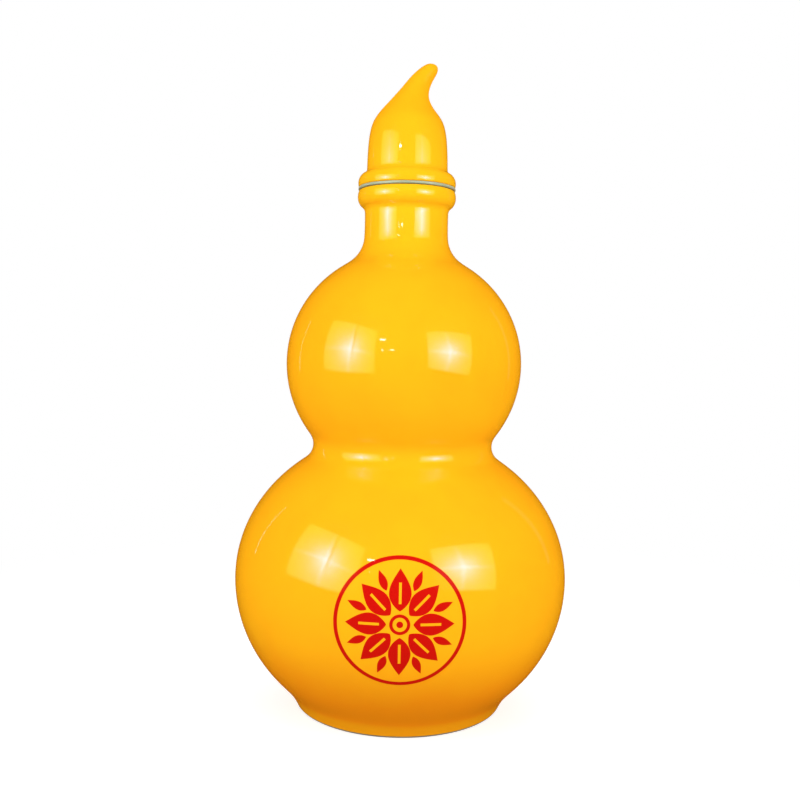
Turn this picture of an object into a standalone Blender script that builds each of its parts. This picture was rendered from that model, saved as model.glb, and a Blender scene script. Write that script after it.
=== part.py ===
"""Gourd bottle: a slip-cast body, a ribbed silicone seal and a hollow stopper with a curled stem.

The bottle stands on z = 0 and its axis is Z. Seen from -Y, the stem of the stopper curls towards +X.
Every turned piece is drawn as a half section, a chain of simple curves whose corners are rounded,
and is then spun about Z. The outline always keeps the solid on its left hand.
"""

import math

import bmesh
import bpy
from mathutils import Matrix, Vector
from mathutils.geometry import intersect_line_line_2d

MM = 0.001
QUARTER = math.pi / 2

# Lower and upper bulb: each is half an ellipse above its widest level and half of another below it. The
# ellipses run through three joints: the top of the foot, the waist and the root of the neck.
LOWER_BULB_RADIUS = 51.9 * MM
LOWER_BULB_LEVEL = 40.2 * MM
WAIST_RISE = 39.8 * MM
WAIST_RADIUS = 24.9 * MM
WAIST_DROP = 26.8 * MM
WAIST_FILLET = 5.4 * MM
UPPER_BULB_RADIUS = 36.7 * MM
SHOULDER_RISE = 33.5 * MM
WALL = 4.0 * MM

# Foot ring and the shallow recess inside it.
FOOT_RADIUS = 32.2 * MM
FOOT_TAPER = math.radians(23.5)
FOOT_HEIGHT = 4.8 * MM
FOOT_FILLET_SHARE = 0.76
FOOT_WIDTH = 3.6 * MM
FOOT_EDGE = 0.9 * MM
RECESS_DEPTH = 2.6 * MM
RECESS_FILLET = 1.2 * MM
FLOOR_THICKNESS = 4.2 * MM
FLOOR_FILLET = 9.0 * MM

# Neck and the rounded lip that the seal sits on.
NECK_RADIUS = 12.95 * MM
NECK_LENGTH = 20.2 * MM
NECK_FILLET = 10.0 * MM
NECK_WALL = 3.45 * MM
LIP_PROUD = 2.35 * MM
LIP_RISE = 3.3 * MM
LIP_CROWN = 2.1 * MM
LIP_FILLET = 2.5 * MM
LIP_EDGE = 0.7 * MM

# Fits between the three pieces.
FACE_GAP = 0.15 * MM
ROUND_GAP = 0.3 * MM

# Silicone seal: a washer between lip and stopper, and a ribbed sleeve in the mouth.
WASHER_THICKNESS = 0.6 * MM
WASHER_SETBACK = 0.35 * MM
WASHER_EDGE = 0.3 * MM
SLEEVE_LENGTH = 17.0 * MM
SLEEVE_WALL = 1.2 * MM
SLEEVE_ROOT = 0.6 * MM
SLEEVE_CHAMFER = 0.8 * MM
RIB_COUNT = 4
RIB_HEIGHT = 0.7 * MM
RIB_PITCH = 3.3 * MM
RIB_RAMP = 1.3 * MM
RIB_LAND = 0.35 * MM
RIB_BACK = 0.4 * MM
FIRST_RIB = 2.0 * MM
BEAD_PROUD = 0.5 * MM
BEAD_LAND = 0.7 * MM
BEAD_RAMP = 0.5 * MM
BEAD_DEPTH = 8.0 * MM

# Stopper: a hollow knob with a flange, a tapering curled stem and a shank for the seal.
FLANGE_SETBACK = 0.1 * MM
FLANGE_PROUD = 2.6 * MM
FLANGE_RISE = 3.1 * MM
FLANGE_LEVEL = 1.3 * MM
FLANGE_FILLET = 1.5 * MM
FLANGE_EDGE = 0.6 * MM
STOPPER_HEIGHT = 38.2 * MM
STEM_REACH = 8.0 * MM
STEM_TILT = math.radians(39)
SHANK_LENGTH = 16.0 * MM
SHANK_WALL = 3.0 * MM
SHANK_EDGE = 0.5 * MM
STOPPER_WALL = 3.2 * MM
CAVITY_HEIGHT = 19.0 * MM
CAVITY_CROWN = 7.0 * MM
CAVITY_SHOULDER = 6.0 * MM
CAVITY_EASE = 1.5 * MM

# Sections of knob and stem, from the flange up: shares of the stopper's height, of the stem's reach,
# of the knob's radius and of the stem's tilt.
SECTION_SHARES = (
    (0.235, 0.000, 0.990, 0.00),
    (0.315, 0.000, 0.976, 0.00),
    (0.377, 0.000, 0.962, 0.00),
    (0.427, 0.000, 0.942, 0.00),
    (0.474, 0.000, 0.912, 0.00),
    (0.513, 0.000, 0.876, 0.00),
    (0.548, 0.003, 0.824, 0.01),
    (0.591, 0.022, 0.734, 0.05),
    (0.633, 0.050, 0.628, 0.10),
    (0.673, 0.098, 0.532, 0.17),
    (0.715, 0.156, 0.444, 0.28),
    (0.757, 0.235, 0.367, 0.45),
    (0.801, 0.338, 0.308, 0.65),
    (0.853, 0.472, 0.264, 0.87),
    (0.906, 0.644, 0.222, 0.96),
    (0.948, 0.815, 0.183, 1.00),
    (0.975, 0.910, 0.135, 1.00),
    (0.991, 0.975, 0.070, 1.00),
)
TIP_SHARES = (0.996, 1.000)

# Levels and radii that follow from the sizes above.
UPPER_BULB_LEVEL = LOWER_BULB_LEVEL + WAIST_RISE + WAIST_DROP
LIP_LEVEL = UPPER_BULB_LEVEL + SHOULDER_RISE + NECK_LENGTH
FOOT_TOP_RADIUS = FOOT_RADIUS + FOOT_HEIGHT * math.tan(FOOT_TAPER)
LIP_RADIUS = NECK_RADIUS + LIP_PROUD
MOUTH_RADIUS = NECK_RADIUS - NECK_WALL
RIB_RADIUS = MOUTH_RADIUS - ROUND_GAP
SLEEVE_RADIUS = RIB_RADIUS - RIB_HEIGHT
SLEEVE_BORE = SLEEVE_RADIUS - SLEEVE_WALL
SHANK_RADIUS = SLEEVE_BORE - ROUND_GAP
SHANK_BORE = SHANK_RADIUS - SHANK_WALL
WASHER_RADIUS = LIP_RADIUS - WASHER_SETBACK
WASHER_LEVEL = LIP_LEVEL + FACE_GAP
STOPPER_LEVEL = WASHER_LEVEL + WASHER_THICKNESS + FACE_GAP
FLANGE_RADIUS = LIP_RADIUS - FLANGE_SETBACK
KNOB_RADIUS = FLANGE_RADIUS - FLANGE_PROUD

# Fineness of the faceted surfaces.
BODY_SEGMENTS = 48
SMALL_SEGMENTS = 36
OUTER_STEP = math.radians(9)
INNER_STEP = math.radians(15)
BEAD_STEP = math.radians(22.5)
CORNER_STEP = math.radians(31)
SHORTEST_EDGE = 0.12 * MM
WELD = 0.001 * MM
SHARP_ANGLE = math.radians(35)


def line(*points):
    """A straight run through (radius, height) points."""
    return [Vector(point) for point in points]


def bow(centre, reach, rise, start, end, step):
    """Part of an ellipse about a centre, from one angle to another; 0 points away from the axis."""
    count = max(2, math.ceil(abs(end - start) / step))
    angles = [start + (end - start) * i / count for i in range(count + 1)]
    return [Vector((centre[0] + reach * math.cos(a), centre[1] + rise * math.sin(a))) for a in angles]


def half_height(reach, radius, joint_radius):
    """Half height of the ellipse of a radius that passes a joint at this reach from its widest level."""
    return reach / math.sqrt(1 - (joint_radius / radius) ** 2)


def bulb(centre, radius, drop, rise, step):
    """A bulb's half outline, drawn upwards: one ellipse below the widest level and one above it."""
    return bow(centre, radius, drop, -QUARTER, 0, step)[:-1] + bow(centre, radius, rise, 0, QUARTER, step)


def shifted(curve, distance):
    """The curve moved sideways, away from the solid on its left."""
    moved = []
    for i, point in enumerate(curve):
        ahead = curve[min(i + 1, len(curve) - 1)]
        behind = curve[max(i - 1, 0)]
        along = (ahead - behind).normalized()
        moved.append(point + Vector((along.y, -along.x)) * distance)
    return moved


def crossing(first, second):
    """Where two curves first cross: the segment of each, and the point."""
    for i in range(len(first) - 1):
        for j in range(len(second) - 1):
            point = intersect_line_line_2d(first[i], first[i + 1], second[j], second[j + 1])
            if point:
                return i, j, point
    raise ValueError("two neighbouring curves of an outline never meet")


def along_segment(curve, index, moved, point):
    """The point of a curve that was shifted to the given point of its moved copy."""
    start, end = moved[index], moved[index + 1]
    share = (point - start).length / (end - start).length
    return curve[index].lerp(curve[index + 1], share)


def rounded(first, second, radius):
    """Two curves cut back to an arc between them: a hollow corner has a positive radius, an outward one a
    negative. Gives what is left of the first curve with the arc, and the arc's end with what is left of
    the second.
    """
    moved_first, moved_second = shifted(first, radius), shifted(second, radius)
    i, j, centre = crossing(moved_first, moved_second)
    start = along_segment(first, i, moved_first, centre)
    end = along_segment(second, j, moved_second, centre)
    spoke = start - centre
    turn = spoke.angle_signed(end - centre)
    count = max(2, math.ceil(abs(turn) / CORNER_STEP))
    arc = [centre + Matrix.Rotation(-turn * k / count, 2) @ spoke for k in range(count)]
    return first[: i + 1] + arc, [end] + second[j + 1 :]


def chain(start, *joined):
    """An outline made of curves, each given with the radius of the corner before it."""
    outline, curve = [], start
    for radius, following in joined:
        done, curve = rounded(curve, following, radius)
        outline += done
    outline += curve
    kept = [outline[0]]
    for point in outline[1:-1]:
        if (point - kept[-1]).length > SHORTEST_EDGE and (point - outline[-1]).length > SHORTEST_EDGE:
            kept.append(point)
    return kept + [outline[-1]]


def spun(outline, segments):
    """A mesh made by turning an outline about Z."""
    mesh = bmesh.new()
    points = [mesh.verts.new((p.x, 0, p.y)) for p in outline]
    edges = [mesh.edges.new(pair) for pair in zip(points, points[1:])]
    bmesh.ops.spin(
        mesh,
        geom=points + edges,
        cent=(0, 0, 0),
        axis=(0, 0, 1),
        angle=math.tau,
        steps=segments,
        use_merge=True,
    )
    bmesh.ops.remove_doubles(mesh, verts=mesh.verts, dist=WELD)
    return mesh


def finished(name, mesh, level, material, parent=None):
    """An object from a closed mesh, with its origin on the axis at the given height."""
    bmesh.ops.recalc_face_normals(mesh, faces=mesh.faces)
    data = bpy.data.meshes.new(name)
    mesh.to_mesh(data)
    mesh.free()
    data.shade_smooth()
    data.set_sharp_from_angle(angle=SHARP_ANGLE)
    data.materials.append(material)
    piece = bpy.data.objects.new(name, data)
    bpy.context.scene.collection.objects.link(piece)
    piece.parent = parent
    piece.location.z = level - (parent.matrix_world.translation.z if parent else 0)
    bpy.context.view_layer.update()
    return piece


def surface(name, colour, roughness):
    """A non-metallic material."""
    material = bpy.data.materials.new(name)
    material.use_nodes = True
    shader = material.node_tree.nodes["Principled BSDF"]
    shader.inputs["Base Color"].default_value = (*colour, 1)
    shader.inputs["Roughness"].default_value = roughness
    shader.inputs["Metallic"].default_value = 0
    return material


def foot_fillet(drop):
    """Radius of the hollow between foot and bulb that takes its share of the foot's slanting side."""
    steepness = math.atan(
        drop**2 * FOOT_TOP_RADIUS / (LOWER_BULB_RADIUS**2 * (LOWER_BULB_LEVEL - FOOT_HEIGHT))
    )
    side = FOOT_HEIGHT / math.cos(FOOT_TAPER)
    return FOOT_FILLET_SHARE * side / math.tan((QUARTER - FOOT_TAPER - steepness) / 2)


def body_outline():
    """Half section of the body, from the recess under the foot, up the outside and down the inside."""
    lower, upper = (0, LOWER_BULB_LEVEL), (0, UPPER_BULB_LEVEL)
    lower_drop = half_height(LOWER_BULB_LEVEL - FOOT_HEIGHT, LOWER_BULB_RADIUS, FOOT_TOP_RADIUS)
    lower_rise = half_height(WAIST_RISE, LOWER_BULB_RADIUS, WAIST_RADIUS)
    upper_drop = half_height(WAIST_DROP, UPPER_BULB_RADIUS, WAIST_RADIUS)
    upper_rise = half_height(SHOULDER_RISE, UPPER_BULB_RADIUS, NECK_RADIUS)
    recess_radius = FOOT_RADIUS - FOOT_WIDTH
    foot_lean = LOWER_BULB_LEVEL * math.tan(FOOT_TAPER)
    floor = RECESS_DEPTH + FLOOR_THICKNESS
    lip_line = (NECK_RADIUS, LIP_LEVEL - LIP_CROWN)
    neck_bend = NECK_FILLET + NECK_RADIUS - MOUTH_RADIUS

    under = line((0, RECESS_DEPTH), (LOWER_BULB_RADIUS, RECESS_DEPTH))
    ring_inside = line((recess_radius, LOWER_BULB_LEVEL), (recess_radius, -LOWER_BULB_LEVEL))
    contact = line((0, 0), (LOWER_BULB_RADIUS, 0))
    ring_outside = line(
        (FOOT_RADIUS - foot_lean, -LOWER_BULB_LEVEL), (FOOT_RADIUS + foot_lean, LOWER_BULB_LEVEL)
    )
    lower_bulb = bulb(lower, LOWER_BULB_RADIUS, lower_drop, lower_rise, OUTER_STEP)
    upper_bulb = bulb(upper, UPPER_BULB_RADIUS, upper_drop, upper_rise, OUTER_STEP)
    neck = line((NECK_RADIUS, UPPER_BULB_LEVEL), (NECK_RADIUS, LIP_LEVEL))
    lip = bow(lip_line, LIP_PROUD, LIP_RISE, -QUARTER, QUARTER, BEAD_STEP)
    lip_top = line((LOWER_BULB_RADIUS, LIP_LEVEL), (0, LIP_LEVEL))
    bore = line((MOUTH_RADIUS, LIP_LEVEL + NECK_LENGTH), (MOUTH_RADIUS, UPPER_BULB_LEVEL))
    upper_inside = bulb(
        upper, UPPER_BULB_RADIUS - WALL, upper_drop - WALL, upper_rise - WALL, INNER_STEP
    )[::-1]
    lower_inside = bulb(
        lower, LOWER_BULB_RADIUS - WALL, lower_drop - WALL, lower_rise - WALL, INNER_STEP
    )[::-1]
    inner_floor = line((LOWER_BULB_RADIUS, floor), (0, floor))
    return chain(
        under,
        (RECESS_FILLET, ring_inside),
        (-FOOT_EDGE, contact),
        (-FOOT_EDGE, ring_outside),
        (foot_fillet(lower_drop), lower_bulb),
        (WAIST_FILLET, upper_bulb),
        (NECK_FILLET, neck),
        (LIP_FILLET, lip),
        (-LIP_EDGE, lip_top),
        (-LIP_EDGE, bore),
        (-neck_bend, upper_inside),
        (-(WAIST_FILLET + WALL), lower_inside),
        (FLOOR_FILLET, inner_floor),
    )


def rib(level):
    """One sealing rib of the sleeve, drawn upwards: a long ramp, a narrow land and a steep back."""
    return line(
        (SLEEVE_RADIUS, level),
        (RIB_RADIUS, level + RIB_RAMP),
        (RIB_RADIUS, level + RIB_RAMP + RIB_LAND),
        (SLEEVE_RADIUS, level + RIB_RAMP + RIB_LAND + RIB_BACK),
    )


def seal_outline():
    """Half section of the seal, from half way up the bore, round the sleeve and the washer and back.

    Heights count from the underside of the washer. A bead inside the sleeve snaps into the shank's groove.
    """
    end = -SLEEVE_LENGTH
    top = WASHER_THICKNESS
    bead = -BEAD_DEPTH
    outside = line(
        (SLEEVE_BORE, end),
        (SLEEVE_RADIUS - SLEEVE_CHAMFER, end),
        (SLEEVE_RADIUS, end + SLEEVE_CHAMFER),
    )
    for i in range(RIB_COUNT):
        outside += rib(end + FIRST_RIB + i * RIB_PITCH)
    outside += line((SLEEVE_RADIUS, top))
    lower_bore = line(
        (SLEEVE_BORE - BEAD_PROUD, bead),
        (SLEEVE_BORE - BEAD_PROUD, bead - BEAD_LAND / 2),
        (SLEEVE_BORE, bead - BEAD_LAND / 2 - BEAD_RAMP),
        (SLEEVE_BORE, end - SLEEVE_LENGTH),
    )
    underside = line((0, 0), (LIP_RADIUS, 0))
    rim = line((WASHER_RADIUS, -SLEEVE_LENGTH), (WASHER_RADIUS, SLEEVE_LENGTH))
    face = line((LIP_RADIUS, top), (0, top))
    upper_bore = line(
        (SLEEVE_BORE, top + SLEEVE_LENGTH),
        (SLEEVE_BORE, bead + BEAD_LAND / 2 + BEAD_RAMP),
        (SLEEVE_BORE - BEAD_PROUD, bead + BEAD_LAND / 2),
        (SLEEVE_BORE - BEAD_PROUD, bead),
    )
    return chain(
        lower_bore[:-1] + outside,
        (SLEEVE_ROOT, underside),
        (-WASHER_EDGE, rim),
        (-WASHER_EDGE, face),
        (-WASHER_EDGE, upper_bore),
    )


def stopper_outline():
    """Half section of the stopper's turned part, from the top of its cavity down to the shank's end,
    up the outside of shank and flange, and up the knob to where the stem begins.

    Heights count from the underside of the flange.
    """
    end = -SHANK_LENGTH
    groove_radius = SHANK_RADIUS - BEAD_PROUD
    groove_middle = WASHER_LEVEL - BEAD_DEPTH - STOPPER_LEVEL
    groove_half = BEAD_LAND / 2 + ROUND_GAP
    cavity_radius = KNOB_RADIUS - STOPPER_WALL
    shoulder_top = FLANGE_LEVEL + CAVITY_SHOULDER
    shoulder_drop = cavity_radius - SHANK_BORE

    ceiling = line((0, CAVITY_HEIGHT), (KNOB_RADIUS, CAVITY_HEIGHT))
    cavity_side = line((cavity_radius, STOPPER_HEIGHT), (cavity_radius, -SHANK_LENGTH))
    shoulder = line(
        (cavity_radius + shoulder_drop, shoulder_top + shoulder_drop), (0, shoulder_top - cavity_radius)
    )
    shank_bore = line((SHANK_BORE, STOPPER_HEIGHT), (SHANK_BORE, end - SHANK_LENGTH))
    shank_end = line((0, end), (LIP_RADIUS, end))
    shank = line(
        (SHANK_RADIUS, end - SHANK_LENGTH),
        (SHANK_RADIUS, groove_middle - groove_half - BEAD_RAMP),
        (groove_radius, groove_middle - groove_half),
        (groove_radius, groove_middle + groove_half),
        (SHANK_RADIUS, groove_middle + groove_half + BEAD_RAMP),
        (SHANK_RADIUS, STOPPER_HEIGHT),
    )
    underside = line((0, 0), (LIP_RADIUS, 0))
    flange = bow((KNOB_RADIUS, FLANGE_LEVEL), FLANGE_PROUD, FLANGE_RISE, -QUARTER, QUARTER, BEAD_STEP)
    knob = line(
        (KNOB_RADIUS, 0), (SECTION_SHARES[0][2] * KNOB_RADIUS, SECTION_SHARES[0][0] * STOPPER_HEIGHT)
    )
    return chain(
        ceiling,
        (CAVITY_CROWN, cavity_side),
        (CAVITY_EASE, shoulder),
        (-CAVITY_EASE, shank_bore),
        (-SHANK_EDGE, shank_end),
        (-SHANK_EDGE, shank),
        (SHANK_EDGE, underside),
        (-FLANGE_EDGE, flange),
        (FLANGE_FILLET, knob),
    )


def raise_stem(mesh, outline):
    """Extrudes the open ring at the top of the knob through the leaning sections, and closes the tip."""
    level = outline[-1].y
    ring = [e for e in mesh.edges if e.is_boundary and all(abs(v.co.z - level) < WELD for v in e.verts)]
    radius = outline[-1].x
    offset, tilt = 0, 0
    for height_share, reach_share, width_share, tilt_share in SECTION_SHARES[1:]:
        extruded = bmesh.ops.extrude_edge_only(mesh, edges=ring)["geom"]
        ring = [g for g in extruded if isinstance(g, bmesh.types.BMEdge)]
        verts = [g for g in extruded if isinstance(g, bmesh.types.BMVert)]
        new_radius, new_level = width_share * KNOB_RADIUS, height_share * STOPPER_HEIGHT
        new_offset, new_tilt = reach_share * STEM_REACH, tilt_share * STEM_TILT
        flat = Matrix.Rotation(-tilt, 4, "Y") @ Matrix.Translation((-offset, 0, -level))
        leaning = Matrix.Translation((new_offset, 0, new_level)) @ Matrix.Rotation(new_tilt, 4, "Y")
        bmesh.ops.transform(
            mesh, matrix=leaning @ Matrix.Scale(new_radius / radius, 4) @ flat, verts=verts
        )
        radius, level, offset, tilt = new_radius, new_level, new_offset, new_tilt
    tip = mesh.verts.new((TIP_SHARES[1] * STEM_REACH, 0, TIP_SHARES[0] * STOPPER_HEIGHT))
    for edge in ring:
        mesh.faces.new((*edge.verts, tip))


def make_body(glaze):
    return finished("bottle_body", spun(body_outline(), BODY_SEGMENTS), 0, glaze)


def make_seal(silicone, body):
    return finished("seal_sleeve", spun(seal_outline(), SMALL_SEGMENTS), WASHER_LEVEL, silicone, body)


def make_stopper(glaze, seal):
    outline = stopper_outline()
    mesh = spun(outline, SMALL_SEGMENTS)
    raise_stem(mesh, outline)
    return finished("stopper_cap", mesh, STOPPER_LEVEL, glaze, seal)


def main():
    for old in list(bpy.data.objects):
        bpy.data.objects.remove(old)
    glaze = surface("yellow_glaze", (0.95, 0.46, 0.012), 0.08)
    silicone = surface("clear_silicone", (0.62, 0.66, 0.58), 0.45)
    body = make_body(glaze)
    seal = make_seal(silicone, body)
    make_stopper(glaze, seal)


main()
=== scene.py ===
# %% [markdown]
# A glazed gourd bottle
#
# This file dresses a working model of a ceramic gourd bottle for the camera. The real bottle has three
# loose pieces: the hollow body, the stopper with its curled stem, and the silicone seal on the stopper's
# shank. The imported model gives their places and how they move. Here each piece is modelled again with
# smooth surfaces, gets a finish made of shader nodes, and is lit and framed. Lengths are in metres, +Z is
# up, and the front of the bottle looks towards -Y.

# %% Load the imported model
import math

import bpy
from mathutils import Matrix, Vector
from mathutils.geometry import intersect_line_line_2d


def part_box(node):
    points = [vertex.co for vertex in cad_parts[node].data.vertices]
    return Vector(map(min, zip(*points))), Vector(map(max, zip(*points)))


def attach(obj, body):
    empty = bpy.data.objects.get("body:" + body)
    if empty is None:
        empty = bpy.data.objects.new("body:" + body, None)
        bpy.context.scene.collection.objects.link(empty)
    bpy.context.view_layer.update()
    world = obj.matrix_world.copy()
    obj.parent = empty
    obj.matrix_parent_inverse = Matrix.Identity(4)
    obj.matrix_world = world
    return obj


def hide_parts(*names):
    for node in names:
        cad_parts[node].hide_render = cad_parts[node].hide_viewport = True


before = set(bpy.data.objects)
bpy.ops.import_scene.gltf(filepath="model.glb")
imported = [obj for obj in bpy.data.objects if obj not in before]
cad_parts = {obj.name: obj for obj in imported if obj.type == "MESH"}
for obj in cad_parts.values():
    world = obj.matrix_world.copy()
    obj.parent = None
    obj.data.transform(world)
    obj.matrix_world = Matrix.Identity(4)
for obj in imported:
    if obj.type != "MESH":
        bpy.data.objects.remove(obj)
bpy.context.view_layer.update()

MM = 0.001
QUARTER = math.pi / 2

# %% [markdown]
# The bottle's shape is a profile turned about its axis. A gourd is two bulbs, and each bulb is half an
# ellipse above its widest level and half of another below it. Short straight lines make the foot, the neck
# and the mouth. Such a profile could be a bezier curve, but simple curves with named sizes are easier to
# measure.

# %% Curves of a half section
COARSE = math.radians(5)
FINE = math.radians(15)


def line(*points):
    """A straight run through (radius, height) points."""
    return [Vector(point) for point in points]


def bow(centre, reach, rise, start, end, step):
    """Part of an ellipse about a centre, from one angle to another; 0 points away from the axis."""
    count = max(2, math.ceil(abs(end - start) / step))
    angles = [start + (end - start) * i / count for i in range(count + 1)]
    return [Vector((centre[0] + reach * math.cos(a), centre[1] + rise * math.sin(a))) for a in angles]


def bulb(level, radius, drop, rise):
    """A bulb's half outline, drawn upwards."""
    below = bow((0, level), radius, drop, -QUARTER, 0, COARSE)
    return below[:-1] + bow((0, level), radius, rise, 0, QUARTER, COARSE)


# %% [markdown]
# Glazed ware has no sharp edges, so every corner of the profile is rounded. Both curves are moved sideways
# by the fillet's radius, and the point where the moved copies cross is the centre of the arc. That is how
# a draughtsman finds a fillet with a compass. The profile keeps the clay on its left hand, so a hollow
# corner has a positive radius and an outward corner a negative one.

# %% Find where two curves meet
def shifted(curve, distance):
    """The curve moved sideways, away from the clay on its left."""
    moved = []
    for i, point in enumerate(curve):
        along = (curve[min(i + 1, len(curve) - 1)] - curve[max(i - 1, 0)]).normalized()
        moved.append(point + Vector((along.y, -along.x)) * distance)
    return moved


def crossing(first, second):
    """Where two curves first cross: the segment of each, and the point."""
    for i in range(len(first) - 1):
        for j in range(len(second) - 1):
            point = intersect_line_line_2d(first[i], first[i + 1], second[j], second[j + 1])
            if point:
                return i, j, point
    raise ValueError("two neighbouring curves of a profile never meet")


def before_shift(curve, index, moved, point):
    """The point of a curve that was moved to the given point."""
    start, end = moved[index], moved[index + 1]
    return curve[index].lerp(curve[index + 1], (point - start).length / (end - start).length)


# %% Join curves with rounded corners
SHORTEST_EDGE = 0.06 * MM


def chain(curve, *joined):
    """A profile of curves, each given with the radius of the corner before it."""
    profile = []
    for radius, following in joined:
        moved, moved_next = shifted(curve, radius), shifted(following, radius)
        i, j, centre = crossing(moved, moved_next)
        spoke = before_shift(curve, i, moved, centre) - centre
        end = before_shift(following, j, moved_next, centre)
        turn = spoke.angle_signed(end - centre)
        count = max(2, math.ceil(abs(turn) / FINE))
        arc = [centre + Matrix.Rotation(-turn * k / count, 2) @ spoke for k in range(count)]
        profile += curve[: i + 1] + arc
        curve = [end] + following[j + 1 :]
    profile += curve
    kept = [profile[0]]
    for point in profile[1:-1]:
        if min((point - kept[-1]).length, (point - profile[-1]).length) > SHORTEST_EDGE:
            kept.append(point)
    return kept + [profile[-1]]


# %% [markdown]
# The body is slip-cast in a mould, so its inside follows its outside at the thickness of the wall. The
# profile starts in the recess under the foot, climbs the outside to the lip and comes back down the
# inside.

# %% Sizes of the body
WALL = 4.0 * MM
LOWER_LEVEL, LOWER_RADIUS, LOWER_DROP, LOWER_RISE = 40.2 * MM, 51.9 * MM, 47.2 * MM, 45.4 * MM
UPPER_LEVEL, UPPER_RADIUS, UPPER_DROP, UPPER_RISE = 106.8 * MM, 36.7 * MM, 36.5 * MM, 35.8 * MM
WAIST_FILLET = 5.4 * MM
FOOT_RADIUS, FOOT_WIDTH, FOOT_TAPER = 32.2 * MM, 3.6 * MM, math.radians(23.5)
FOOT_FILLET, FOOT_EDGE = 16.0 * MM, 0.9 * MM
RECESS_DEPTH, RECESS_FILLET = 2.6 * MM, 1.2 * MM
FLOOR_LEVEL, FLOOR_FILLET = 6.8 * MM, 9.0 * MM
NECK_RADIUS, NECK_FILLET, MOUTH_RADIUS = 12.95 * MM, 10.0 * MM, 9.5 * MM
LIP_PROUD, LIP_RISE, LIP_CROWN = 2.35 * MM, 3.3 * MM, 2.1 * MM
LIP_FILLET, LIP_EDGE = 2.5 * MM, 0.7 * MM
LIP_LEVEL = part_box("bottle_body")[1].z
print("the lip is at", round(LIP_LEVEL / MM, 2), "mm")


# %% Profile of the body
def body_profile():
    """Half section of the body."""
    recess = FOOT_RADIUS - FOOT_WIDTH
    lean = LOWER_LEVEL * math.tan(FOOT_TAPER)
    lip = (NECK_RADIUS, LIP_LEVEL - LIP_CROWN)
    lower_inside = bulb(LOWER_LEVEL, LOWER_RADIUS - WALL, LOWER_DROP - WALL, LOWER_RISE - WALL)
    upper_inside = bulb(UPPER_LEVEL, UPPER_RADIUS - WALL, UPPER_DROP - WALL, UPPER_RISE - WALL)
    return chain(
        line((0, RECESS_DEPTH), (LOWER_RADIUS, RECESS_DEPTH)),
        (RECESS_FILLET, line((recess, LOWER_LEVEL), (recess, -LOWER_LEVEL))),
        (-FOOT_EDGE, line((0, 0), (LOWER_RADIUS, 0))),
        (-FOOT_EDGE, line((FOOT_RADIUS - lean, -LOWER_LEVEL), (FOOT_RADIUS + lean, LOWER_LEVEL))),
        (FOOT_FILLET, bulb(LOWER_LEVEL, LOWER_RADIUS, LOWER_DROP, LOWER_RISE)),
        (WAIST_FILLET, bulb(UPPER_LEVEL, UPPER_RADIUS, UPPER_DROP, UPPER_RISE)),
        (NECK_FILLET, line((NECK_RADIUS, UPPER_LEVEL), (NECK_RADIUS, LIP_LEVEL))),
        (LIP_FILLET, bow(lip, LIP_PROUD, LIP_RISE, -QUARTER, QUARTER, FINE)),
        (-LIP_EDGE, line((LOWER_RADIUS, LIP_LEVEL), (0, LIP_LEVEL))),
        (-LIP_EDGE, line((MOUTH_RADIUS, 2 * LIP_LEVEL), (MOUTH_RADIUS, UPPER_LEVEL))),
        (-(NECK_FILLET + NECK_RADIUS - MOUTH_RADIUS), upper_inside[::-1]),
        (-(WAIST_FILLET + WALL), lower_inside[::-1]),
        (FLOOR_FILLET, line((LOWER_RADIUS, FLOOR_LEVEL), (0, FLOOR_LEVEL))),
    )


# %% [markdown]
# A lathe makes a turned form, and Blender's Spin is a lathe. A small plane is added where the profile
# starts and is merged to one point. The point is extruded from place to place along the profile, and the
# finished line is spun about Z. Its seam is merged and its normals are turned outwards. A Screw modifier
# would do the same, but then the line couldn't be seen and mended on the way.

# %% Lathe
SEAM = 0.002 * MM


def turn_profile(name, profile, steps):
    """Extrudes a point along the profile and spins it about Z; the piece is left in edit mode."""
    bpy.ops.object.select_all(action="DESELECT")
    bpy.ops.mesh.primitive_plane_add(size=MM, location=(profile[0].x, 0, profile[0].y))
    piece = bpy.context.object
    piece.name = piece.data.name = name
    bpy.ops.object.transform_apply(location=True)
    bpy.ops.object.mode_set(mode="EDIT")
    bpy.ops.mesh.select_all(action="SELECT")
    bpy.ops.mesh.merge(type="CENTER")
    for here, there in zip(profile, profile[1:]):
        step = there - here
        bpy.ops.mesh.extrude_region_move(TRANSFORM_OT_translate={"value": (step.x, 0, step.y)})
    bpy.ops.mesh.select_all(action="SELECT")
    bpy.ops.mesh.spin(steps=steps, angle=math.tau, center=(0, 0, 0), axis=(0, 0, 1))
    bpy.ops.mesh.select_all(action="SELECT")
    bpy.ops.mesh.remove_doubles(threshold=SEAM)
    return piece


def close_up(piece):
    """Merges doubled points, turns the normals outwards and leaves edit mode."""
    bpy.ops.mesh.select_all(action="SELECT")
    bpy.ops.mesh.remove_doubles(threshold=SEAM)
    bpy.ops.mesh.normals_make_consistent(inside=False)
    bpy.ops.object.mode_set(mode="OBJECT")
    size = [round(side / MM, 1) for side in piece.dimensions]
    print(piece.name, "is", size, "mm, with", len(piece.data.polygons), "faces")


# %% [markdown]
# Spin leaves flat facets. An applied Subdivision Surface rounds them off, which costs fewer steps than a
# finer spin and keeps the rows of faces even. A piece then stands for its node of the imported model and
# rides on that node's body.

# %% Smooth and seat a piece
def smooth_out(piece):
    """Rounds the facets with an applied Subdivision Surface and shades the piece smooth."""
    rounding = piece.modifiers.new("rounding", "SUBSURF")
    rounding.levels = rounding.render_levels = 1
    bpy.ops.object.modifier_apply(modifier=rounding.name)
    bpy.ops.object.shade_smooth()
    print(piece.name, "is smoothed to", len(piece.data.polygons), "faces")


def seat(piece, node, body):
    """Puts the piece in a node's place and on its body."""
    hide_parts(node)
    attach(piece, body)


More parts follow.
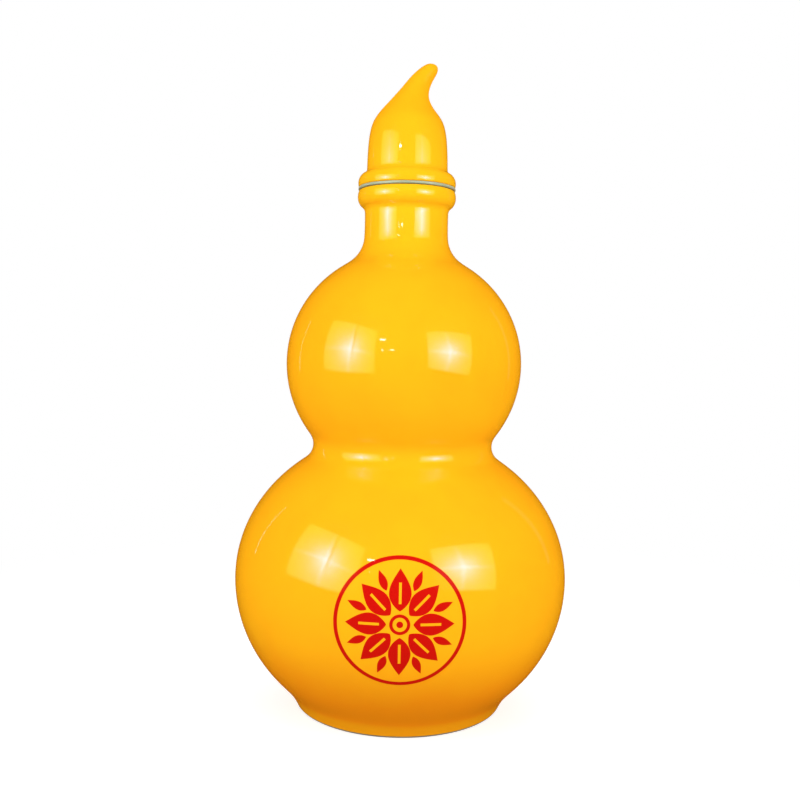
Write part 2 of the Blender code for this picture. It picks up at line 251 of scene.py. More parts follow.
# %% Turn the body
BODY_STEPS = 72
body = turn_profile("gourd_body", body_profile(), BODY_STEPS)
close_up(body)
smooth_out(body)
seat(body, "bottle_body", "bottle")

# %% [markdown]
# The seal is moulded silicone. Its washer lies between the lip and the stopper, and its sleeve fills the
# mouth with ramped ribs, which bend as the stopper is pressed in. A bead inside the sleeve snaps into a
# groove of the shank. Its corners are crisp, so it is spun finely and isn't subdivided.

# %% Sizes of the seal
SLEEVE_LENGTH, SLEEVE_WALL, SLEEVE_ROOT, SLEEVE_CHAMFER = 17.0 * MM, 1.2 * MM, 0.6 * MM, 0.8 * MM
RIB_COUNT, RIB_HEIGHT, RIB_PITCH, FIRST_RIB = 4, 0.7 * MM, 3.3 * MM, 2.0 * MM
RIB_RAMP, RIB_LAND, RIB_BACK = 1.3 * MM, 0.35 * MM, 0.4 * MM
BEAD_PROUD, BEAD_LAND, BEAD_RAMP, BEAD_DEPTH = 0.5 * MM, 0.7 * MM, 0.5 * MM, 8.0 * MM
ROUND_GAP, WASHER_SETBACK, WASHER_EDGE, CLOSE_FIT = 0.3 * MM, 0.2 * MM, 0.27 * MM, 0.02 * MM
LIP_RADIUS = NECK_RADIUS + LIP_PROUD
RIB_RADIUS = MOUTH_RADIUS - ROUND_GAP
SLEEVE_RADIUS = RIB_RADIUS - RIB_HEIGHT
SLEEVE_BORE = SLEEVE_RADIUS - SLEEVE_WALL
WASHER_RADIUS = LIP_RADIUS - WASHER_SETBACK
SLEEVE_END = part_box("seal_sleeve")[0].z
BEAD_LEVEL = SLEEVE_END + SLEEVE_LENGTH - BEAD_DEPTH
SHANK_LENGTH = 16.0 * MM
STOPPER_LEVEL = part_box("stopper_cap")[0].z + SHANK_LENGTH
print("the flange is", round((STOPPER_LEVEL - LIP_LEVEL) / MM, 2), "mm above the lip")


# %% Profile of the seal
def seal_profile():
    """Half section of the seal, from the bead down, round the sleeve and the washer and back to the bead."""
    foot, top = LIP_LEVEL + CLOSE_FIT, STOPPER_LEVEL - CLOSE_FIT
    bead_radius, half = SLEEVE_BORE - BEAD_PROUD, BEAD_LAND / 2
    start = line((bead_radius, BEAD_LEVEL), (bead_radius, BEAD_LEVEL - half))
    outside = line((SLEEVE_BORE, BEAD_LEVEL - half - BEAD_RAMP), (SLEEVE_BORE, SLEEVE_END))
    outside += line((SLEEVE_RADIUS - SLEEVE_CHAMFER, SLEEVE_END))
    outside += line((SLEEVE_RADIUS, SLEEVE_END + SLEEVE_CHAMFER))
    for i in range(RIB_COUNT):
        level = SLEEVE_END + FIRST_RIB + i * RIB_PITCH
        crest = level + RIB_RAMP + RIB_LAND
        outside += line((SLEEVE_RADIUS, level), (RIB_RADIUS, level + RIB_RAMP))
        outside += line((RIB_RADIUS, crest), (SLEEVE_RADIUS, crest + RIB_BACK))
    outside += line((SLEEVE_RADIUS, top))
    bore = line((SLEEVE_BORE, 2 * top), (SLEEVE_BORE, BEAD_LEVEL + half + BEAD_RAMP))
    bore += line((bead_radius, BEAD_LEVEL + half), (bead_radius, BEAD_LEVEL))
    return chain(
        start + outside,
        (SLEEVE_ROOT, line((0, foot), (LIP_RADIUS, foot))),
        (-WASHER_EDGE, line((WASHER_RADIUS, SLEEVE_END), (WASHER_RADIUS, 2 * top))),
        (-WASHER_EDGE, line((LIP_RADIUS, top), (0, top))),
        (-WASHER_EDGE, bore),
    )


# %% Turn the seal
SEAL_STEPS, CRISP_ANGLE = 120, math.radians(30)
seal = turn_profile("silicone_seal", seal_profile(), SEAL_STEPS)
close_up(seal)
bpy.ops.object.shade_smooth_by_angle(angle=CRISP_ANGLE)
seat(seal, "seal_sleeve", "seal")

# %% [markdown]
# The stopper is hollow too, because thick clay cracks in the kiln. Its turned part starts at the top of
# the hollow, goes down to the shank's end, up the outside with the groove for the seal's bead, round the
# flange and up the side of the knob, where it stays open for the stem.

# %% Sizes of the stopper
FLANGE_SETBACK, FLANGE_PROUD, FLANGE_RISE, FLANGE_CROWN = 0.1 * MM, 2.6 * MM, 3.1 * MM, 1.3 * MM
FLANGE_FILLET, FLANGE_EDGE, SHANK_EDGE = 1.5 * MM, 0.6 * MM, 0.5 * MM
SHANK_WALL, KNOB_WALL, KNOB_SIDE, KNOB_TAPER = 3.0 * MM, 3.2 * MM, 9.0 * MM, 0.990
HOLLOW_HEIGHT, HOLLOW_CROWN, HOLLOW_EASE, SHOULDER_HEIGHT = 19.0 * MM, 7.0 * MM, 1.5 * MM, 7.3 * MM
KNOB_RADIUS = LIP_RADIUS - FLANGE_SETBACK - FLANGE_PROUD
SHANK_RADIUS = SLEEVE_BORE - ROUND_GAP
SHANK_BORE = SHANK_RADIUS - SHANK_WALL
HOLLOW_RADIUS, HOLLOW_TOP = KNOB_RADIUS - KNOB_WALL, STOPPER_LEVEL + HOLLOW_HEIGHT
SHOULDER_LEVEL = STOPPER_LEVEL + SHOULDER_HEIGHT
KNOB_START = (KNOB_TAPER * KNOB_RADIUS, STOPPER_LEVEL + KNOB_SIDE)


# %% Profile of the stopper
def stopper_profile():
    """Half section of the stopper's turned part, open at the knob."""
    flange = (KNOB_RADIUS, STOPPER_LEVEL + FLANGE_CROWN)
    funnel = HOLLOW_RADIUS - SHANK_BORE
    shoulder = line((HOLLOW_RADIUS + funnel, SHOULDER_LEVEL + funnel), (0, SHOULDER_LEVEL - HOLLOW_RADIUS))
    groove, half = SHANK_RADIUS - BEAD_PROUD, BEAD_LAND / 2 + ROUND_GAP
    shank = line((SHANK_RADIUS, -LIP_LEVEL), (SHANK_RADIUS, BEAD_LEVEL - half - BEAD_RAMP))
    shank += line((groove, BEAD_LEVEL - half), (groove, BEAD_LEVEL + half))
    shank += line((SHANK_RADIUS, BEAD_LEVEL + half + BEAD_RAMP), (SHANK_RADIUS, HOLLOW_TOP))
    shank_end = STOPPER_LEVEL - SHANK_LENGTH
    return chain(
        line((0, HOLLOW_TOP), (KNOB_RADIUS, HOLLOW_TOP)),
        (HOLLOW_CROWN, line((HOLLOW_RADIUS, 2 * HOLLOW_TOP), (HOLLOW_RADIUS, 0))),
        (HOLLOW_EASE, shoulder),
        (-HOLLOW_EASE, line((SHANK_BORE, HOLLOW_TOP), (SHANK_BORE, 0))),
        (-SHANK_EDGE, line((0, shank_end), (LIP_RADIUS, shank_end))),
        (-SHANK_EDGE, shank),
        (SHANK_EDGE, line((0, STOPPER_LEVEL), (LIP_RADIUS, STOPPER_LEVEL))),
        (-FLANGE_EDGE, bow(flange, FLANGE_PROUD, FLANGE_RISE, -QUARTER, QUARTER, FINE)),
        (FLANGE_FILLET, line((KNOB_RADIUS, STOPPER_LEVEL), KNOB_START)),
    )


# %% [markdown]
# The stem can't be turned, because it curls to one side. The open rim of the knob is extruded section by
# section instead. Each new ring is shrunk and tilted as it goes, like a stalk that a modeller draws out by
# hand. The table lists the sections as they were measured: height above the flange, reach to the side,
# radius and tilt.

# %% Sections of the stem
# Height, reach and radius in millimetres, and tilt in degrees.
STEM_SECTIONS = (
    (8.98, 0.00, 12.47, 0.0),
    (12.03, 0.00, 12.30, 0.0),
    (14.40, 0.00, 12.12, 0.0),
    (16.31, 0.00, 11.87, 0.0),
    (18.11, 0.00, 11.49, 0.0),
    (19.60, 0.00, 11.04, 0.0),
    (20.93, 0.02, 10.38, 0.4),
    (22.58, 0.18, 9.25, 2.0),
    (24.18, 0.40, 7.91, 3.9),
    (25.71, 0.78, 6.70, 6.6),
    (27.31, 1.25, 5.59, 10.9),
    (28.92, 1.88, 4.62, 17.6),
    (30.60, 2.60, 3.94, 25.4),
    (32.58, 3.61, 3.37, 33.9),
    (34.61, 5.04, 2.82, 37.4),
    (36.21, 6.55, 2.38, 39.0),
    (37.16, 7.47, 1.86, 35.0),
    (37.74, 7.90, 1.05, 27.0),
)
STEM_TIP = (37.97, 8.05)


def stem_point(height, reach):
    """A place on the stem's middle line."""
    return Vector((reach * MM, 0, STOPPER_LEVEL + height * MM))


# %% Draw out the stem
def draw_out_stem():
    """Extrudes the open rim through the sections and closes it at the tip."""
    bpy.ops.mesh.select_all(action="DESELECT")
    bpy.ops.mesh.select_non_manifold(extend=False, use_boundary=True)
    for here, there in zip(STEM_SECTIONS, STEM_SECTIONS[1:]):
        centre = stem_point(*there[:2])
        bpy.ops.mesh.extrude_region_move(TRANSFORM_OT_translate={"value": centre - stem_point(*here[:2])})
        shrink = there[2] / here[2]
        bpy.ops.transform.resize(value=(shrink, shrink, shrink), center_override=centre)
        tilt = math.radians(there[3] - here[3])
        bpy.ops.transform.rotate(value=-tilt, orient_axis="Y", center_override=centre)
    step = stem_point(*STEM_TIP) - stem_point(*STEM_SECTIONS[-1][:2])
    bpy.ops.mesh.extrude_region_move(TRANSFORM_OT_translate={"value": step})
    bpy.ops.mesh.merge(type="CENTER")


STOPPER_STEPS = 64
stopper = turn_profile("glazed_stopper", stopper_profile(), STOPPER_STEPS)
draw_out_stem()
close_up(stopper)
smooth_out(stopper)
seat(stopper, "stopper_cap", "stopper")

# %% [markdown]
# Shader maths reads best as a formula. One small class wraps a socket of a node, so that Python's
# operators add the Math nodes. Another holds a material, and its one method adds any other kind of node.

# %% Shader values
class Value:
    """The output of a node, for use in formulas."""

    def __init__(self, finish, socket):
        self.finish, self.socket = finish, socket

    def math(self, operation, *others):
        return self.finish.node("ShaderNodeMath", {"operation": operation}, [self, *others])

    def __add__(self, other):
        return self.math("ADD", other)

    def __sub__(self, other):
        return self.math("SUBTRACT", other)

    def __rsub__(self, other):
        return self.finish.node("ShaderNodeMath", {"operation": "SUBTRACT"}, [other, self])

    def __mul__(self, other):
        return self.math("MULTIPLY", other)

    def __truediv__(self, other):
        return self.math("DIVIDE", other)

    def __pow__(self, other):
        return self.math("POWER", other)

    __radd__ = __add__
    __rmul__ = __mul__


# %% Shader materials
class Finish:
    """A material, or the world round the scene; constants are set on the shader's own sockets."""

    def __init__(self, name, world=False, **constants):
        self.material = bpy.data.worlds.new(name) if world else bpy.data.materials.new(name)
        self.material.use_nodes = True
        self.tree = self.material.node_tree
        self.shader = self.tree.nodes["Background" if world else "Principled BSDF"]
        self.feed(**constants)

    def node(self, kind, settings=None, values=(), output=0):
        """Adds a node, applies its settings, then fills or links its sockets, and gives one output."""
        node = self.tree.nodes.new(kind)
        for name, setting in (settings or {}).items():
            setattr(node, name, setting)
        for key, value in values.items() if isinstance(values, dict) else enumerate(values):
            self.join(node.inputs[key], value)
        return Value(self, node.outputs[output])

    def parts(self, vector):
        """The three numbers of a vector."""
        outputs = self.node("ShaderNodeSeparateXYZ", values=[vector]).socket.node.outputs
        return [Value(self, output) for output in outputs]

    def join(self, socket, value):
        """Links a socket to a value, or fills it with a number, colour or vector."""
        if isinstance(value, Value):
            self.tree.links.new(value.socket, socket)
        else:
            socket.default_value = value

    def feed(self, **inputs):
        """Sets or links sockets of the shader."""
        for name, value in inputs.items():
            self.join(self.shader.inputs[name.replace("_", " ")], value)

    def lay_over(self, share, **inputs):
        """Covers a share of the surface with a second shader."""
        below, self.shader = self.shader, self.tree.nodes.new("ShaderNodeBsdfPrincipled")
        self.feed(**inputs)
        layers = [share, Value(self, below.outputs[0]), Value(self, self.shader.outputs[0])]
        mixed = self.node("ShaderNodeMixShader", {}, layers)
        self.join(self.tree.nodes["Material Output"].inputs["Surface"], mixed)


# %% [markdown]
# A few patterns are used by more than one finish. All of them read the piece's own coordinates in
# millimetres, so a pattern keeps its scale and stays on its piece when the stopper turns.

# %% Shared patterns
def place_on(finish):
    """The point's place on the piece in millimetres: the vector, x, y and z."""
    metres = finish.node("ShaderNodeTexCoord", output="Object")
    scale = {0: metres, "Scale": 1 / MM}
    place = finish.node("ShaderNodeVectorMath", {"operation": "SCALE"}, scale)
    return (place, *finish.parts(place))


def cloudy(finish, place, size, detail):
    """Soft noise from 0 to 1 with lumps of about the given size."""
    return finish.node("ShaderNodeTexNoise", {}, {"Vector": place, "Scale": 1 / size, "Detail": detail})


def rise(finish, value, start, end):
    """0 up to start, 1 from end on, with a smooth step between them."""
    limits = {"Value": value, "From Min": start, "From Max": end}
    return finish.node("ShaderNodeMapRange", {"interpolation_type": "SMOOTHSTEP"}, limits)


def blend(finish, share, first, second):
    """The first colour with a share of the second laid over it."""
    colours = {"Factor": share, 6: first, 7: second}
    return finish.node("ShaderNodeMix", {"data_type": "RGBA"}, colours, 2)


def relief(finish, height, distance):
    """Bumps; a height of 1 stands for the given distance in millimetres."""
    return finish.node("ShaderNodeBump", {}, {"Distance": distance * MM, "Height": height})


# %% [markdown]
# The front carries a red ornament, a transfer that is fired on over the glaze. It could be painted as an
# image, but a formula stays sharp at any size. The angle about the centre is folded like a paper star, so
# one petal drawn by its half width gives all eight. The whole round of the transfer is dull, so it needs a
# mask of its own too.

# %% Ornament
ORNAMENT_LEVEL = 39.0
RING_RADIUS, RING_LINE = 17.8, 1.05
PETALS, SOFT = 8, 0.07
PETAL, LEAF = (3.6, 14.6, 3.0), (9.6, 15.2, 1.1)
VEIN_WIDTH, VEIN_START, VEIN_END = 0.35, 5.5, 11.0
EYE_RADIUS, IRIS_START, IRIS_END = 0.9, 1.9, 2.8


def inside(finish, value, limit):
    """1 where the value is under the limit."""
    return 1 - rise(finish, value, limit - SOFT, limit + SOFT)


def band(finish, value, low, high):
    """1 where the value lies between two limits."""
    return inside(finish, value, high) - inside(finish, value, low)


def petal_ring(finish, radius, angle, turn, start, end, width):
    """Pointed petals about the centre: how far along and across the nearest one is, and its mask."""
    folded = (angle + turn).math("PINGPONG", math.pi / PETALS)
    along, across = radius * folded.math("COSINE"), radius * folded.math("SINE")
    share = ((along - start) / (end - start)).math("MINIMUM", 1).math("MAXIMUM", 0)
    half_width = (share ** 0.8 * math.pi).math("SINE") * width
    return along, across, inside(finish, across - half_width, 0) * band(finish, along, start, end)


def ornament(finish, x, y, z):
    """The masks of the whole transfer and of its print, a ring with an eight-petalled flower in it."""
    up = z - ORNAMENT_LEVEL
    radius = (x * x + up * up).math("SQRT")
    angle = x.math("ARCTAN2", up)
    ring = band(finish, radius, RING_RADIUS - RING_LINE, RING_RADIUS)
    along, across, petal = petal_ring(finish, radius, angle, 0, *PETAL)
    vein = inside(finish, across, VEIN_WIDTH) * band(finish, along, VEIN_START, VEIN_END)
    _, _, leaf = petal_ring(finish, radius, angle, math.pi / PETALS, *LEAF)
    eye = band(finish, radius, IRIS_START, IRIS_END).math("MAXIMUM", inside(finish, radius, EYE_RADIUS))
    printed = ring.math("MAXIMUM", petal * (1 - vein)).math("MAXIMUM", leaf).math("MAXIMUM", eye)
    front = inside(finish, y, 0)
    return inside(finish, radius, RING_RADIUS) * front, printed * front


# %% [markdown]
# The glaze is a yellow enamel, thick and very glossy, with the faint waviness of glass that once ran. Its
# colour is deeper under the lower bulb and in the crease above the foot, partly glaze that gathers
# there and partly painted shade. The foot ring is made lighter with painted light from the paper, and the
# colour is lighter round the lower half of the upper bulb and round the neck. A smooth skin would mirror
# the lamps like chrome, so the bumps are small but they are there. The transfer could be made dull through
# roughness alone, but a veil of light would still lie on the red, so a second shader without gloss covers
# its round. The stem, which is touched each time the bottle is opened, is dulled in the same way. Just
# inside the mouth the yellow ends, and the clear glaze of the inside takes over.

# %% Glaze
GLAZE_YELLOW = (0.97, 0.50, 0.009, 1)
# Deep glaze tone, also the colour of the painted shade under the lower bulb and in the crease above the foot.
GLAZE_DEEP_AND_SHADE = (0.96, 0.31, 0.006, 1)
SPECK_BROWN = (0.30, 0.11, 0.01, 1)
PRINT_RED = (0.56, 0.006, 0.003, 1)
LINER_WHITE = (0.76, 0.72, 0.63, 1)
DULL = {"Roughness": 0.6, "Specular_IOR_Level": 0.0}
CLOUD_SIZE, CLOUD_DEPTH, MEAN_DEPTH = 16, 0.12, 0.37
SPECK_SPACING, SPECK_RADIUS, SPECK_PATCH, SPECK_SHARE = 7, 0.12, 19, 0.5
LONG_WAVE, SHORT_WAVE, LONG_SWELL, SHORT_SWELL, WAVE_HEIGHT = 26, 4, 10, 0.35, 0.012


def glaze_finish(name, changes):
    """The yellow glaze, darker or lighter round each (level, reach, share), in millimetres; on the body these
    bands are partly glaze depth and partly painted shade and painted light.
    """
    glaze = Finish(name, Roughness=0.05, IOR=1.5)
    place, x, y, z = place_on(glaze)
    depth_and_shade = rise(glaze, cloudy(glaze, place, CLOUD_SIZE, 3), 0.35, 0.75) * CLOUD_DEPTH + MEAN_DEPTH
    # Bands of deeper or lighter colour; on the body they are partly glaze depth, partly painted shade and
    # painted light.
    for level, reach, share in changes:
        depth_and_shade = depth_and_shade + (1 - rise(glaze, (z - level).math("ABSOLUTE"), 0, reach)) * share
    colour = blend(glaze, depth_and_shade, GLAZE_YELLOW, GLAZE_DEEP_AND_SHADE)
    spacing = {"Vector": place, "Scale": 1 / SPECK_SPACING}
    spot = glaze.node("ShaderNodeTexVoronoi", {}, spacing, "Distance") * SPECK_SPACING
    rare = rise(glaze, cloudy(glaze, place, SPECK_PATCH, 0), 0.64, 0.66)
    specks = inside(glaze, spot, SPECK_RADIUS) * rare * SPECK_SHARE
    colour = blend(glaze, specks, colour, SPECK_BROWN)
    wave = cloudy(glaze, place, LONG_WAVE, 1) * LONG_SWELL + cloudy(glaze, place, SHORT_WAVE, 1) * SHORT_SWELL
    glaze.feed(Normal=relief(glaze, wave, WAVE_HEIGHT))
    return glaze, colour, (place, x, y, z)


# %% Glaze of the body and of the stopper
# Painted shade under the lower bulb (10) and in the crease above the foot (8.2), partly real glaze pooling;
# painted light on the foot ring (2.5); lighter bands on the upper bulb (88) and round the neck (156).
BODY_DEPTHS_AND_SHADE = [(10, 22, 0.58), (8.2, 5, 0.6), (2.5, 4, -0.3), (88, 18, -0.13), (156, 22, -0.33)]
YELLOW_END, RAGGED_SIZE, RAGGED_HEIGHT, BORE_FIT = 154.0, 5, 2, 0.2
TRANSFER_DULLNESS, STEM_DULLNESS, STEM_START, STEM_FADE = 0.9, 0.85, 17, 27


def body_glaze():
    """Yellow glaze with the ornament, and the clear glaze where the mouth's bore begins."""
    glaze, colour, (place, x, y, z) = glaze_finish("yellow_glaze", BODY_DEPTHS_AND_SHADE)
    transfer, printed = ornament(glaze, x, y, z)
    colour = blend(glaze, printed, colour, PRINT_RED)
    ragged = z + cloudy(glaze, place, RAGGED_SIZE, 2) * RAGGED_HEIGHT
    bore = inside(glaze, (x * x + y * y).math("SQRT"), MOUTH_RADIUS / MM + BORE_FIT)
    colour = blend(glaze, inside(glaze, ragged, YELLOW_END) * bore, colour, LINER_WHITE)
    glaze.feed(Base_Color=colour)
    glaze.lay_over(transfer * TRANSFER_DULLNESS, Base_Color=colour, **DULL)
    return glaze.material


def stopper_glaze():
    """Yellow glaze, darker in the hollow over the flange, lighter over the knob, and less glossy on the stem.
    """
    base = STOPPER_LEVEL / MM
    depths = [(base + 5, 1.5, 0.12), (base + 5, 22, -0.26)]
    glaze, colour, (*_, z) = glaze_finish("stopper_yellow_glaze", depths)
    glaze.feed(Base_Color=colour)
    worn = rise(glaze, z, base + STEM_START, base + STEM_FADE) * STEM_DULLNESS
    glaze.lay_over(worn, Base_Color=colour, **DULL)
    return glaze.material


# %% [markdown]
# Clay stays bare where the piece stood in the kiln, at the flat of the foot ring, and on the shank, which
# would stick in the mouth if it were glazed. Bare clay is rough, and its dark olive tone is painted shade,
# the contact shadow along the foot's bottom edge. Under the clear glaze of the inside the clay stays pale.

# %% Clay and clear glaze
# Painted shade: the bare clay is made dark olive to stand for the contact shadow under the foot's edge.
SHADED_BARE_CLAY = (0.25, 0.235, 0.15, 1)
SHADED_BARE_GREY = (0.19, 0.18, 0.11, 1)
LINER_GREY = (0.66, 0.61, 0.53, 1)


def clay_finish(name, light, dark, roughness, grain_height):
    """Clay with a fine grain and slightly darker patches; the height of the grain is in millimetres."""
    clay = Finish(name, Roughness=roughness, IOR=1.5)
    place, *_ = place_on(clay)
    patches = rise(clay, cloudy(clay, place, 6, 3), 0.4, 0.75)
    grain = cloudy(clay, place, 0.5, 3)
    clay.feed(Base_Color=blend(clay, patches, light, dark), Normal=relief(clay, grain, grain_height))
    return clay.material


# %% [markdown]
# Silicone is milky: light goes in a little way and comes back grey-green. Its skin is satin, because the
# mould is. The colour varies softly at random, and a painted shade makes it deepest at the washer's lower
# edge and on the sleeve below it.

# %% Silicone
SILICONE_PALE = (0.42, 0.48, 0.33, 1)
# Deep silicone tone, used for the random variation and for the painted shade at the washer's lower edge.
SILICONE_DEEP_AND_SHADE = (0.24, 0.285, 0.20, 1)


def silicone_finish():
    """Milky silicone with a satin skin."""
    rubber = Finish("milky_silicone", Roughness=0.4, IOR=1.41, Subsurface_Weight=0.3, Subsurface_Scale=MM)
    place, *_, z = place_on(rubber)
    cloud = rise(rubber, cloudy(rubber, place, 5, 2), 0.3, 0.7)
    # Painted shade: the colour darkens towards the washer's lower edge and on the sleeve below it.
    low = 1 - rise(rubber, z, LIP_LEVEL / MM + 0.1, STOPPER_LEVEL / MM - 0.15)
    rubber.feed(Base_Color=blend(rubber, cloud * 0.25 + low * 0.75, SILICONE_PALE, SILICONE_DEEP_AND_SHADE))
    rubber.feed(Normal=relief(rubber, cloudy(rubber, place, 0.6, 2), 0.01))
    return rubber.material


# %% [markdown]
# A face gets its finish by its place: the body's own inside and foot, and the stopper's shank and hollow.
# The outward lean of a face's normal tells an inner wall from an outer one.

# %% Give every face its finish
def dress(piece, materials, choose):
    """Fills the piece's slots and lets choose(radius, height, outward) pick one for each face."""
    piece.data.materials.clear()
    for material in materials:
        piece.data.materials.append(material)
    for face in piece.data.polygons:
        radius = math.hypot(face.center.x, face.center.y)
        outward = (face.normal.x * face.center.x + face.normal.y * face.center.y) / max(radius, SEAM)
        face.material_index = choose(radius, face.center.z, outward)
    print(piece.name, "is dressed in", [material.name for material in materials])


# The bare band at the foot's edge is as high as the dark line of painted contact shadow that its clay colour
# makes.
BARE_RISE, INNER_LEAN = 0.78 * MM, -0.05


def body_part(radius, height, outward):
    """0 yellow glaze, 1 clear glaze of the inside, 2 bare foot."""
    if height < BARE_RISE:
        return 2
    on_floor = radius < FOOT_RADIUS and FLOOR_LEVEL - WALL / 4 < height < FLOOR_LEVEL + WALL
    in_belly = outward < INNER_LEAN and FLOOR_LEVEL - WALL / 4 < height < UPPER_LEVEL + UPPER_RISE
    return 1 if on_floor or in_belly else 0


def stopper_part(radius, height, outward):
    """0 yellow glaze, 1 bare shank and hollow."""
    on_shank = radius < SHANK_RADIUS + 3 * SHANK_EDGE and height < STOPPER_LEVEL + CLOSE_FIT
    in_hollow = radius < HOLLOW_RADIUS + CLOSE_FIT and height < HOLLOW_TOP + CLOSE_FIT
    return 1 if on_shank or in_hollow else 0


clear_glaze = clay_finish("clear_glazed_clay", LINER_WHITE, LINER_GREY, 0.15, 0.01)
# Bare clay darkened with painted shade, used at the foot's edge and on the stopper's shank and hollow.
shaded_bare_clay = clay_finish("shaded_bare_clay", SHADED_BARE_CLAY, SHADED_BARE_GREY, 0.75, 0.04)
dress(body, [body_glaze(), clear_glaze, shaded_bare_clay], body_part)
dress(stopper, [stopper_glaze(), shaded_bare_clay], stopper_part)
dress(seal, [silicone_finish()], lambda radius, height, outward: 0)

# %% [markdown]
# The camera stands a little above the middle of the bottle and close to it, so the perspective is strong,
# and it leans by about one degree. A camera is added like any object, turned, and made the scene's own.

# %% Camera
LENS, SENSOR = 42.3, 36.0
CAMERA_PLACE = Vector((-1.0, -295.9, 112.6)) * MM
CAMERA_PITCH, CAMERA_LEAN = math.radians(3.32), math.radians(1.03)
bpy.ops.object.camera_add(location=CAMERA_PLACE)
camera = bpy.context.object
aim = Matrix.Rotation(QUARTER - CAMERA_PITCH, 3, "X") @ Matrix.Rotation(CAMERA_LEAN, 3, "Z")
camera.rotation_euler = aim.to_euler()
camera.data.lens, camera.data.sensor_width = LENS, SENSOR
bpy.context.scene.camera = camera

# %% [markdown]
# Two softboxes light the bottle from the front left and the front right, and a weaker one fills the back.
# A few small lamps stand round the camera, and two lamp stands further back draw the faint arcs on the
# flanks. An area light lights the glaze well, but the gloss would mirror it as a flat white square. A
# mirrored softbox is more of a picture, so the gloss sees a cloth of its own instead, which glows round
# the lamp behind it and along its folds.

# %% Lamps
KEY_POWER, KEY_SIZE, GLINT_POWER = 1.28, 320, 0.09
SUBJECT = Vector((0, 0, 85)) * MM


def lamp(name, place, size, power, mirrored):
    """An area light that faces the bottle: a soft one that lights it, or a small one that is mirrored."""
    bpy.ops.object.light_add(type="AREA", location=Vector(place) * MM)
    light = bpy.context.object
    light.name = name
    light.data.shape, light.data.energy = "RECTANGLE", power
    light.data.size, light.data.size_y = size[0] * MM, size[1] * MM
    light.rotation_euler = (light.location - SUBJECT).to_track_quat("Z", "Y").to_euler()
    light.visible_camera = False
    light.visible_glossy, light.visible_diffuse = mirrored, not mirrored


lamp("left_key", (-280, -250, 245), (KEY_SIZE, KEY_SIZE), KEY_POWER * 0.96, False)
lamp("right_key", (285, -270, 230), (KEY_SIZE, KEY_SIZE), KEY_POWER, False)
lamp("back_fill", (60, 400, 240), (KEY_SIZE, KEY_SIZE), KEY_POWER * 0.5, False)
lamp("bright_glint", (-191, -504, 340), (46, 11), GLINT_POWER * 0.8, True)
lamp("left_glint", (-198, -543, 249), (21, 8), GLINT_POWER / 7, True)
lamp("right_glint", (-92, -472, 228), (24, 6), GLINT_POWER / 8, True)
lamp("left_stand", (-408, 190, 175), (3, 220), GLINT_POWER / 11, True)
lamp("right_stand", (398, 208, 200), (36, 320), GLINT_POWER / 16, True)

# %% Mirrored cloth of the softboxes
CLOTH_TINT, LAMP_TINT = (1.0, 1.06, 0.13), (0.43, 0.45, 1.12)
CLOTH_GLOW, HALO_GLOW, CORE_GLOW, FOLD_GLOW = 2.3, 2.9, 7.8, 4.0
HALO_REACH, CORE_REACH, FOLD_REACH, FOLD_WIDTH = 110, 52, 95, 9
CREASE_PLACE, CREASE_WIDTH, CREASE_START, CREASE_END, HEM = 16, 7, -60, 10, 0.06


def tinted(finish, tint, amount):
    """A tint made as bright as the amount says."""
    return finish.node("ShaderNodeVectorMath", {"operation": "SCALE"}, {0: tint, "Scale": amount})


def fading(squared, reach):
    """1 at no distance, and less and less over the reach; takes the squared distance."""
    return (squared * (-1 / reach ** 2)).math("EXPONENT")


def mirrored_cloth(name, corners, lamp_across, lamp_up, crease):
    """A panel with four corners, in millimetres, that only the gloss sees; its lamp's place is in shares."""
    bpy.ops.object.select_all(action="DESELECT")
    bpy.ops.mesh.primitive_plane_add(size=1)
    panel = bpy.context.object
    panel.name = name
    corners = [Vector(corner) for corner in corners]
    for point, corner in zip(panel.data.vertices, corners):
        point.co = corner * MM
    panel.visible_camera = panel.visible_diffuse = panel.visible_shadow = False
    cloth = Finish(name + "_glow", Roughness=1.0, Specular_IOR_Level=0.0, Base_Color=(0, 0, 0, 1))
    u, v, _ = cloth.parts(cloth.node("ShaderNodeTexCoord", output="UV"))
    across = (u - lamp_across) * (corners[1] - corners[0]).length
    up = (v - lamp_up) * (corners[2] - corners[0]).length
    across_squared, up_squared = across * across, up * up
    away = across_squared + up_squared
    folds = fading(across_squared, FOLD_WIDTH) * fading(up_squared, FOLD_REACH)
    folds = folds + fading(up_squared, FOLD_WIDTH) * fading(across_squared, FOLD_REACH)
    halo = fading(away, HALO_REACH) * HALO_GLOW + folds * FOLD_GLOW
    dark = fading((across - CREASE_PLACE) ** 2, CREASE_WIDTH) * rise(cloth, up, CREASE_START, CREASE_END)
    hem = 1 - dark * crease
    for edge in (u, 1 - u, v, 1 - v):
        hem = hem * rise(cloth, edge, 0, HEM)
    pale = tinted(cloth, CLOTH_TINT, hem * CLOTH_GLOW)
    glow = [pale, tinted(cloth, LAMP_TINT, (fading(away, CORE_REACH) * CORE_GLOW + halo) * hem)]
    total = cloth.node("ShaderNodeVectorMath", {"operation": "ADD"}, glow)
    cloth.feed(Emission_Color=total, Emission_Strength=1.0)
    panel.data.materials.append(cloth.material)


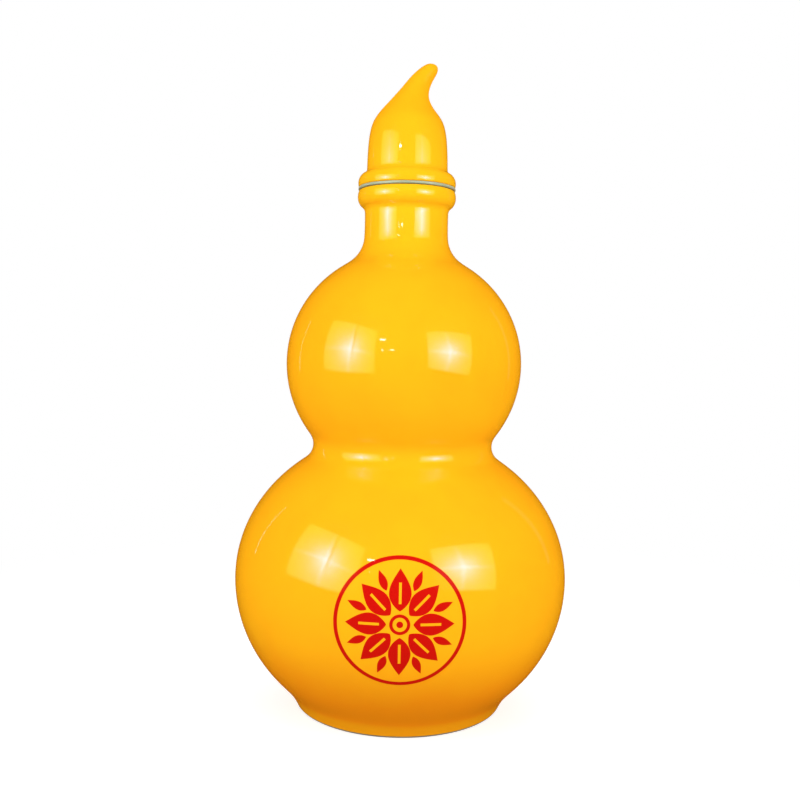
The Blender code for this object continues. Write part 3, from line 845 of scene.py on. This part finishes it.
left = [(-350, -70, 70), (-175, -370, 45), (-375, -45, 345), (-190, -390, 370)]
right = [(124, -342, 86), (349, -187, 46), (134, -367, 346), (419, -152, 311)]
mirrored_cloth("left_softbox", left, 0.48, 0.39, 0.55)
mirrored_cloth("right_softbox", right, 0.40, 0.42, 0)

# %% [markdown]
# The bottle stands on pale paper in a white room. Room and paper are white for the camera and amber and
# dim for the gloss, because a white room on every side would wash the yellow out of it. The paper keeps
# the bottle's soft shadow, and further away it fades into the white of the room.

# %% Room
WHITE, BLACK = (1, 1, 1, 1), (0, 0, 0, 1)
FILL_GREY, MIRROR_AMBER = (0.5, 0.5, 0.5, 1), (0.38, 0.12, 0.004, 1)


def rays(finish, kind):
    """1 for one kind of light ray."""
    return finish.node("ShaderNodeLightPath", output=f"Is {kind} Ray")


room = Finish("white_room", world=True, Strength=1.0)
unseen = blend(room, rays(room, "Glossy"), FILL_GREY, MIRROR_AMBER)
room.feed(Color=blend(room, rays(room, "Camera").math("MAXIMUM", rays(room, "Transmission")), unseen, WHITE))
bpy.context.scene.world = room.material

# %% Paper floor
PAPER_WHITE, PAPER_GREY, PAPER_GLOW = (0.5, 0.5, 0.5, 1), (0.56, 0.56, 0.56, 1), 0.66
FADE_START, FADE_END = 90, 260
FLOOR_REACH, FLOOR_PLACE = 4.0, (0, 0, -0.05 * MM)

bpy.ops.object.select_all(action="DESELECT")
bpy.ops.mesh.primitive_circle_add(vertices=96, radius=FLOOR_REACH, fill_type="NGON", location=FLOOR_PLACE)
floor = bpy.context.object
floor.name = "paper_floor"
paper = Finish("white_paper", Roughness=1.0, Specular_IOR_Level=0.0, Emission_Strength=1.0)
_, x, y, _ = place_on(paper)
seen, mirrored = rays(paper, "Camera"), rays(paper, "Glossy")
far = rise(paper, (x * x + y * y).math("SQRT"), FADE_START, FADE_END)
near = blend(paper, seen, PAPER_GREY, PAPER_WHITE)
sheet = blend(paper, (far * seen).math("MAXIMUM", mirrored), near, BLACK)
glow = blend(paper, seen * (far * (1 - PAPER_GLOW) + PAPER_GLOW), BLACK, WHITE)
paper.feed(Base_Color=sheet, Emission_Color=blend(paper, mirrored, glow, MIRROR_AMBER))
floor.data.materials.append(paper.material)
bpy.context.scene.view_settings.view_transform = "Standard"
